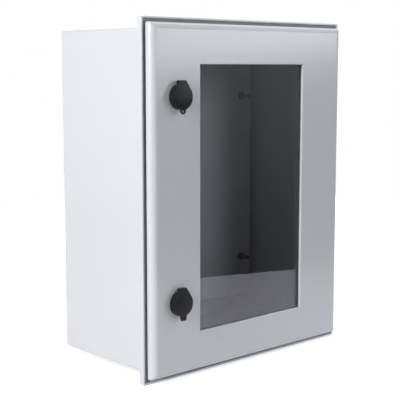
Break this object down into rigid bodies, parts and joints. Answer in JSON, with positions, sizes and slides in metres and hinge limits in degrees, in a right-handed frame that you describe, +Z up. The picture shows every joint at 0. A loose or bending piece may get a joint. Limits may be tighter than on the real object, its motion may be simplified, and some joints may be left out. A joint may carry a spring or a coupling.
{
  "type": "electrical enclosure",
  "caption": "Wall-mounted polyester electrical enclosure with a hinged glazed door, quarter-turn locks under dust flaps, and a mounting plate on studs inside.",
  "frame": {"origin": "centre of the four wall fixings, on the back face that lies against the wall", "axes": "+X to the right seen from the front, +Y to the back into the wall, +Z up"},
  "size_m": [0.4, 0.2239, 0.5],
  "materials": {
    "polyester": "moulded glass-fibre polyester, light grey, satin",
    "plate_polyester": "pressed glass-fibre polyester sheet, grey",
    "seal_foam": "foamed polyurethane, dark grey",
    "dark_rubber": "dark grey sealing rubber",
    "pane": "lightly tinted clear pane",
    "black_plastic": "black polyamide, fine matt grain",
    "lock_metal": "zinc die casting, plated",
    "zinc_steel": "zinc-plated steel",
    "black_steel": "burnished steel, black",
    "stainless_steel": "stainless steel",
    "hinge_metal": "extruded aluminium, plain",
    "brass": "turned brass"
  },
  "bodies": {
    "enclosure": {"enclosure_body": "polyester", "rim_strip": "dark_rubber", "fixing_inserts": "brass", "mounting_plate": "plate_polyester", "plate_studs": "black_steel", "plate_washers": "black_steel", "plate_nuts": "black_steel", "hinge_screws": "stainless_steel", "hinge_nuts": "stainless_steel", "keeper_screws": "zinc_steel", "hinge_base_upper": "hinge_metal", "hinge_base_lower": "hinge_metal", "hinge_pin_upper": "stainless_steel", "hinge_pin_lower": "stainless_steel", "keeper_upper": "zinc_steel", "keeper_lower": "zinc_steel"},
    "door": {"door_panel": "polyester", "door_gasket": "seal_foam", "window_seal": "dark_rubber", "window_pane": "pane", "pane_clips": "zinc_steel", "pane_clip_screws": "zinc_steel", "lock_housing_upper": "black_plastic", "lock_housing_lower": "black_plastic", "lock_seal_upper": "dark_rubber", "lock_seal_lower": "dark_rubber", "lock_nut_upper": "black_plastic", "lock_nut_lower": "black_plastic", "flap_pin_upper": "stainless_steel", "flap_pin_lower": "stainless_steel"},
    "upper_lock": {"lock_core_upper": "lock_metal", "lock_cam_upper": "zinc_steel", "cam_screw_upper": "zinc_steel"},
    "upper_flap": {"dust_flap_upper": "black_plastic"},
    "lower_lock": {"lock_core_lower": "lock_metal", "lock_cam_lower": "zinc_steel", "cam_screw_lower": "zinc_steel"},
    "lower_flap": {"dust_flap_lower": "black_plastic"}
  },
  "joints": [
    {"name": "door_hinge", "type": "hinge", "parent": "enclosure", "child": "door", "pos_m": [0.1937, -0.202, 0], "axis": [0, 0, 1], "range_deg": [0, 110]},
    {"name": "upper_lock_turn", "type": "hinge", "parent": "door", "child": "upper_lock", "pos_m": [-0.146, -0.2, 0.1435], "axis": [0, 1, 0], "range_deg": [0, 90]},
    {"name": "upper_flap_hinge", "type": "hinge", "parent": "door", "child": "upper_flap", "pos_m": [-0.146, -0.217, 0.1628], "axis": [-1, 0, 0], "range_deg": [0, 100]},
    {"name": "lower_lock_turn", "type": "hinge", "parent": "door", "child": "lower_lock", "pos_m": [-0.146, -0.2, -0.14], "axis": [0, 1, 0], "range_deg": [0, 90]},
    {"name": "lower_flap_hinge", "type": "hinge", "parent": "door", "child": "lower_flap", "pos_m": [-0.146, -0.217, -0.1207], "axis": [-1, 0, 0], "range_deg": [0, 100]}
  ]
}
